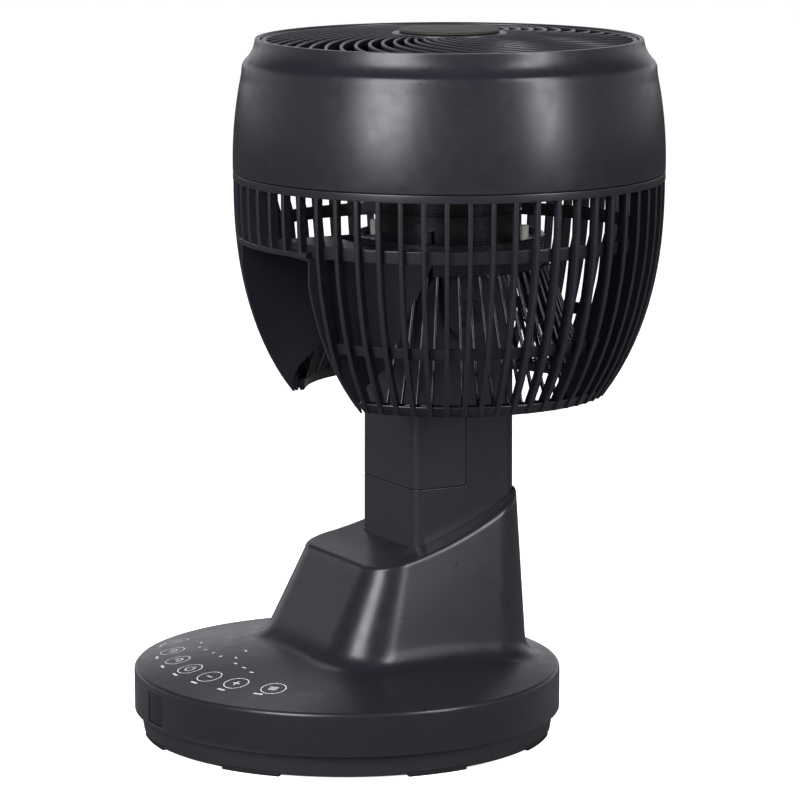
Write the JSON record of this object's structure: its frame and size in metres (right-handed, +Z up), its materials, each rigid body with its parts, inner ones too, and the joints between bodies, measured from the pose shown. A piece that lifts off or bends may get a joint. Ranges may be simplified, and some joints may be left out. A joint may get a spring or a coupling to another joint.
{
  "type": "air circulator fan",
  "caption": "Table air circulator with a drum head tipped up to blow at the ceiling, a forked-slot tilt hinge on a square neck and a round swivelling base with touch keys.",
  "frame": {"origin": "on the floor, in the middle of the fan's outline seen from above, which lies between the base's centre and the head's axis", "axes": "+Z up along the blowing direction of the tipped-up head, -Y to the fan's front, +X to the fan's left as seen from in front of it"},
  "size_m": [0.25, 0.316, 0.4044],
  "materials": {
    "charcoal": "satin",
    "charcoal_gloss": "semi-gloss",
    "taupe": "satin",
    "rubber": "matte",
    "smoked": "gloss",
    "nylon": "satin",
    "board": "satin",
    "steel": "brushed"
  },
  "bodies": {
    "floor_base": {"base_tray": "charcoal", "foot_pad_1": "rubber", "foot_pad_2": "rubber", "foot_pad_3": "rubber", "foot_pad_4": "rubber", "foot_pad_5": "rubber", "foot_pad_6": "rubber", "foot_pad_7": "rubber", "foot_pad_8": "rubber", "swivel_bearing": "nylon", "swivel_gear": "nylon", "retaining_clip": "steel", "power_inlet": "smoked"},
    "upper_stand": {"base_shell": "charcoal", "ir_window": "smoked", "swivel_plate": "charcoal", "control_board": "board", "swivel_motor": "steel", "neck_column": "charcoal", "neck_cover": "charcoal", "tilt_bush_right": "nylon", "tilt_bush_left": "nylon", "tilt_bracket": "steel", "tilt_motor": "steel"},
    "swivel_pinion": {"swivel_pinion": "nylon"},
    "tilt_pinion": {"tilt_pinion": "nylon"},
    "fan_head": {"tilt_pin_right": "steel", "tilt_pin_left": "steel", "tilt_ear_right": "charcoal", "tilt_ear_left": "charcoal", "tilt_gear": "nylon", "front_shell": "charcoal", "front_grille": "charcoal", "grille_badge": "taupe", "rear_guard_1": "charcoal", "rear_guard_2": "charcoal", "rear_guard_3": "charcoal", "rear_guard_4": "charcoal", "rear_guard_5": "charcoal", "rear_guard_6": "charcoal", "inner_cage_1": "charcoal", "inner_cage_2": "charcoal", "inner_cage_3": "charcoal", "inner_cage_4": "charcoal", "inner_cage_5": "charcoal", "slot_wall_right": "charcoal", "slot_wall_left": "charcoal", "slot_ceiling": "charcoal", "motor_mount": "charcoal_gloss", "motor_housing": "charcoal_gloss", "motor_cap": "steel", "motor_post_1": "nylon", "motor_post_2": "nylon", "motor_post_3": "nylon", "motor_post_4": "nylon"},
    "rotor": {"fan_blades": "charcoal_gloss", "motor_shaft": "steel", "spinner_nut": "charcoal_gloss"}
  },
  "joints": [
    {"name": "swivel", "type": "hinge", "parent": "floor_base", "child": "upper_stand", "pos_m": [0, -0.0346, 0.015], "axis": [0, 0, 1], "range_deg": [-60, 60]},
    {"name": "head_tilt", "type": "hinge", "parent": "upper_stand", "child": "fan_head", "pos_m": [0, 0.0259, 0.244], "axis": [1, 0, 0], "range_deg": [0, 90]},
    {"name": "fan_spin", "type": "hinge", "parent": "fan_head", "child": "rotor", "pos_m": [0, 0.0329, 0.33], "axis": [0, 0, 1], "continuous": true},
    {"name": "swivel_pinion_spin", "type": "hinge", "parent": "upper_stand", "child": "swivel_pinion", "pos_m": [0, -0.0646, 0.012], "axis": [0, 0, 1], "range_deg": [-121, 121]},
    {"name": "tilt_pinion_spin", "type": "hinge", "parent": "upper_stand", "child": "tilt_pinion", "pos_m": [0.0185, 0.0259, 0.22], "axis": [1, 0, 0], "range_deg": [-181, 1]}
  ],
  "couplings": [
    {"joint": "swivel_pinion_spin", "follows": "swivel", "ratio": 2},
    {"joint": "tilt_pinion_spin", "follows": "head_tilt", "ratio": -2}
  ]
}
